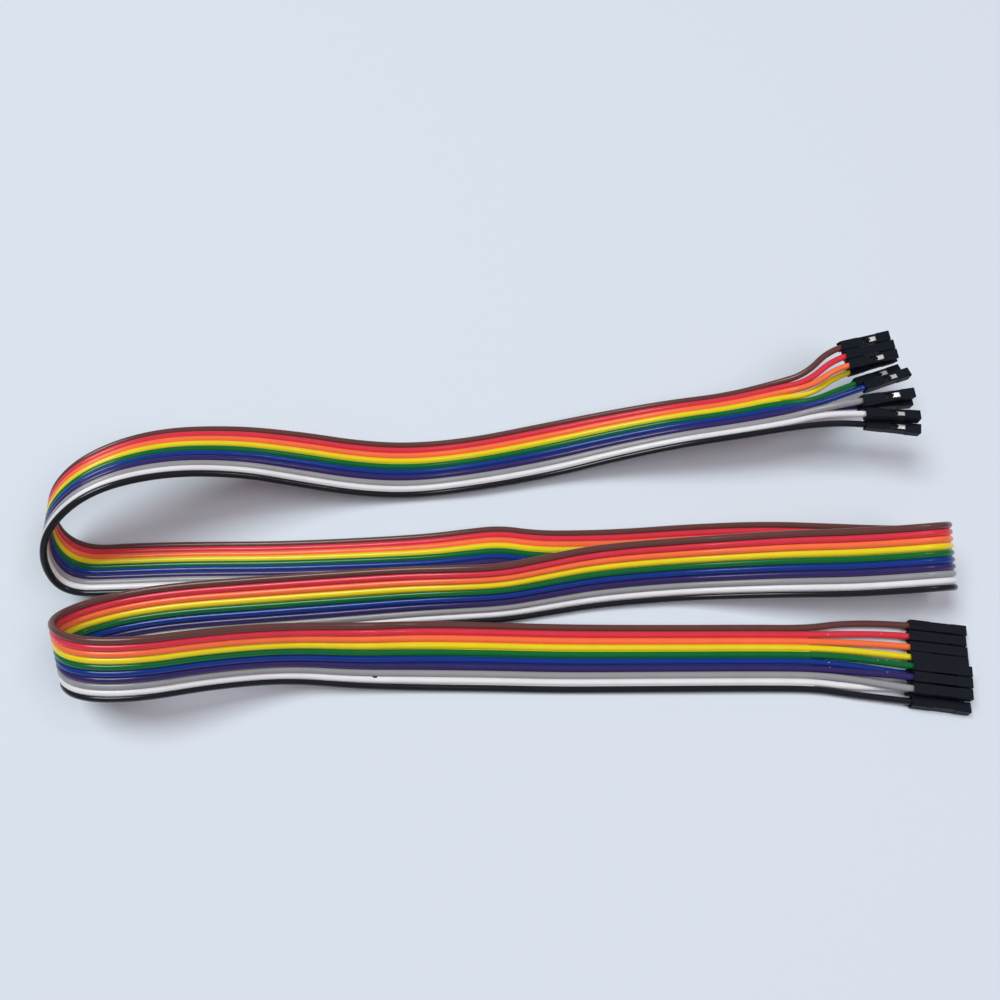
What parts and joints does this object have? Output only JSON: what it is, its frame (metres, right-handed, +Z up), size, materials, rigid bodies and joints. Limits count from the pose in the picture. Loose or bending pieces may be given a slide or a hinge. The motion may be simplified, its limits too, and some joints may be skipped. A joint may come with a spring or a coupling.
{
  "type": "jumper wire ribbon",
  "caption": "Flat rainbow ribbon of bonded jumper wires, folded back and forth, each wire ending in its own black crimp housing with a square pin socket.",
  "frame": {"origin": "bottom centre of the box around the whole ribbon, on the surface it lies on", "axes": "+X along the long folds, towards both rows of housings; +Y across, from the run that is laid last to the run with the raised loose ends; +Z up"},
  "size_m": [0.2281, 0.0987, 0.0284],
  "materials": {
    "insulation_brown": "smooth glossy soft PVC, brown",
    "insulation_red": "smooth glossy soft PVC, red",
    "insulation_orange": "smooth glossy soft PVC, orange",
    "insulation_yellow": "smooth glossy soft PVC, yellow",
    "insulation_green": "smooth glossy soft PVC, green",
    "insulation_blue": "smooth glossy soft PVC, blue",
    "insulation_purple": "smooth glossy soft PVC, purple",
    "insulation_grey": "smooth glossy soft PVC, grey",
    "insulation_white": "smooth glossy soft PVC, white",
    "insulation_black": "smooth glossy soft PVC, black",
    "copper": "bare twisted tinned-copper strands, bright",
    "housing": "moulded black plastic, satin, faintly bluish sheen",
    "contact": "bright tin-plated stamped sheet"
  },
  "bodies": {
    "root": {"wire_brown": "insulation_brown", "wire_red": "insulation_red", "wire_orange": "insulation_orange", "wire_yellow": "insulation_yellow", "wire_green": "insulation_green", "wire_blue": "insulation_blue", "wire_purple": "insulation_purple", "wire_grey": "insulation_grey", "wire_white": "insulation_white", "wire_black": "insulation_black", "conductor_brown": "copper", "conductor_red": "copper", "conductor_orange": "copper", "conductor_yellow": "copper", "conductor_green": "copper", "conductor_blue": "copper", "conductor_purple": "copper", "conductor_grey": "copper", "conductor_white": "copper", "conductor_black": "copper", "start_housing_brown": "housing", "start_housing_red": "housing", "start_housing_orange": "housing", "start_housing_yellow": "housing", "start_housing_green": "housing", "start_housing_blue": "housing", "start_housing_purple": "housing", "start_housing_grey": "housing", "start_housing_white": "housing", "start_housing_black": "housing", "start_contact_brown": "contact", "start_contact_red": "contact", "start_contact_orange": "contact", "start_contact_yellow": "contact", "start_contact_green": "contact", "start_contact_blue": "contact", "start_contact_purple": "contact", "start_contact_grey": "contact", "start_contact_white": "contact", "start_contact_black": "contact", "end_housing_brown": "housing", "end_housing_red": "housing", "end_housing_orange": "housing", "end_housing_yellow": "housing", "end_housing_green": "housing", "end_housing_blue": "housing", "end_housing_purple": "housing", "end_housing_grey": "housing", "end_housing_white": "housing", "end_housing_black": "housing", "end_contact_brown": "contact", "end_contact_red": "contact", "end_contact_orange": "contact", "end_contact_yellow": "contact", "end_contact_green": "contact", "end_contact_blue": "contact", "end_contact_purple": "contact", "end_contact_grey": "contact", "end_contact_white": "contact", "end_contact_black": "contact"}
  },
  "joints": []
}
